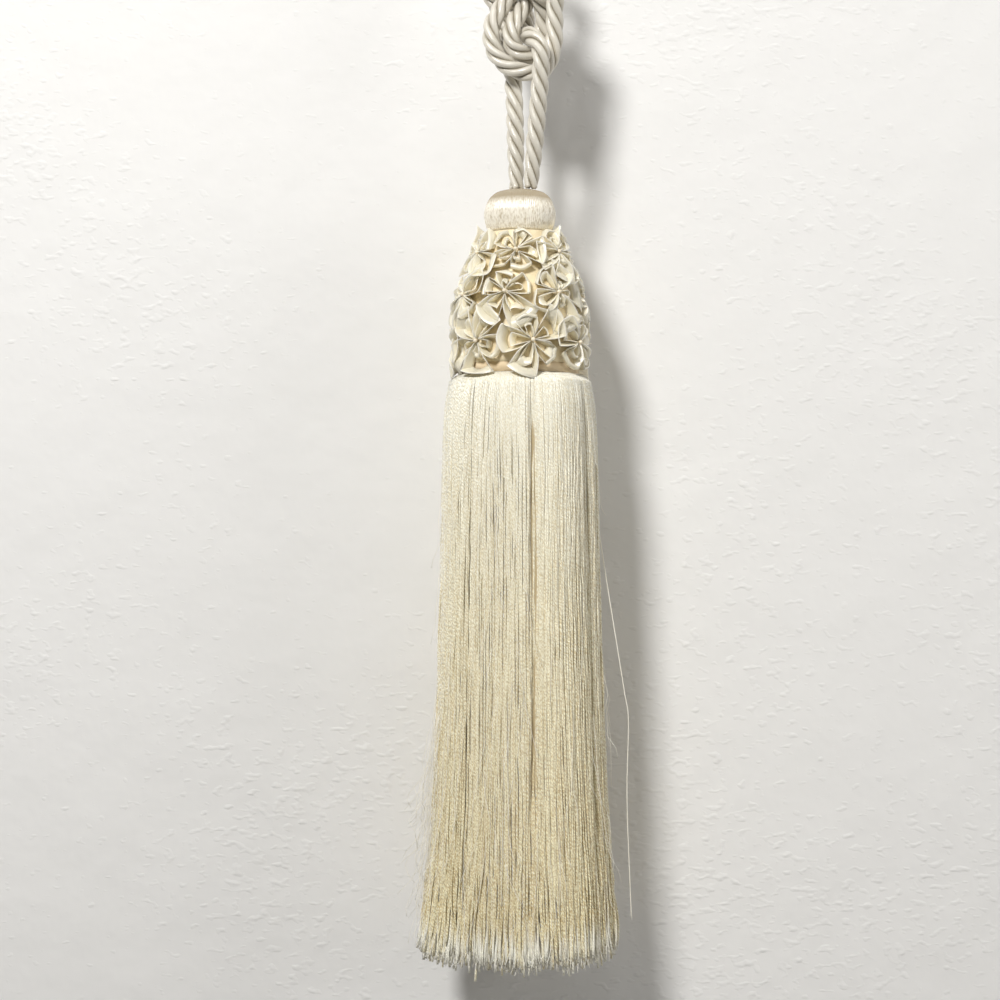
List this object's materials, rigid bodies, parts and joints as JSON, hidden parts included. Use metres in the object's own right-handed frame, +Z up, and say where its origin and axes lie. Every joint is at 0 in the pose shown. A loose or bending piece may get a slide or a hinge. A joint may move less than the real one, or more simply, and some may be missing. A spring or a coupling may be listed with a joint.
{
  "type": "curtain tieback tassel",
  "caption": "Curtain tieback tassel: knotted doubled rope with a hanging loop, floss cap, bell head sewn over with ribbon rosettes, and a long straight thread skirt.",
  "frame": {"origin": "inside of the hanging loop of the rope at its top, on the tassel's axis, where a hook would carry it", "axes": "+Z up along the tassel's axis, the skirt hanging towards -Z; the front, with the right leg of the rope lying over the knot, faces -Y; +X is to the right seen from the front"},
  "size_m": [0.0681, 0.068, 0.3726],
  "materials": {
    "rope": "silky twisted viscose rope, greyish cream with a bright line on each ply",
    "floss": "straight untwisted floss bound over a bulb, cream to pale peach satin sheen",
    "head_satin": "peach satin covering, mostly in shade between the rosettes",
    "ribbon": "narrow satin ribbon, glossy cream with pale woven edges",
    "heading_tape": "matt woven peach tape",
    "skirt_thread": "fine crimped rayon threads, sparkling cream going to pale gold lower down"
  },
  "bodies": {
    "root": {"tie_cord": "rope", "cap": "floss", "head_mould": "head_satin", "rosette_a1": "ribbon", "rosette_a2": "ribbon", "rosette_a3": "ribbon", "rosette_a4": "ribbon", "rosette_a5": "ribbon", "rosette_a6": "ribbon", "rosette_b1": "ribbon", "rosette_b2": "ribbon", "rosette_b3": "ribbon", "rosette_b4": "ribbon", "rosette_b5": "ribbon", "rosette_b6": "ribbon", "rosette_b7": "ribbon", "rosette_c1": "ribbon", "rosette_c2": "ribbon", "rosette_c3": "ribbon", "rosette_c4": "ribbon", "rosette_c5": "ribbon", "rosette_c6": "ribbon", "rosette_c7": "ribbon", "skirt_heading": "heading_tape", "skirt": "skirt_thread"}
  },
  "joints": []
}
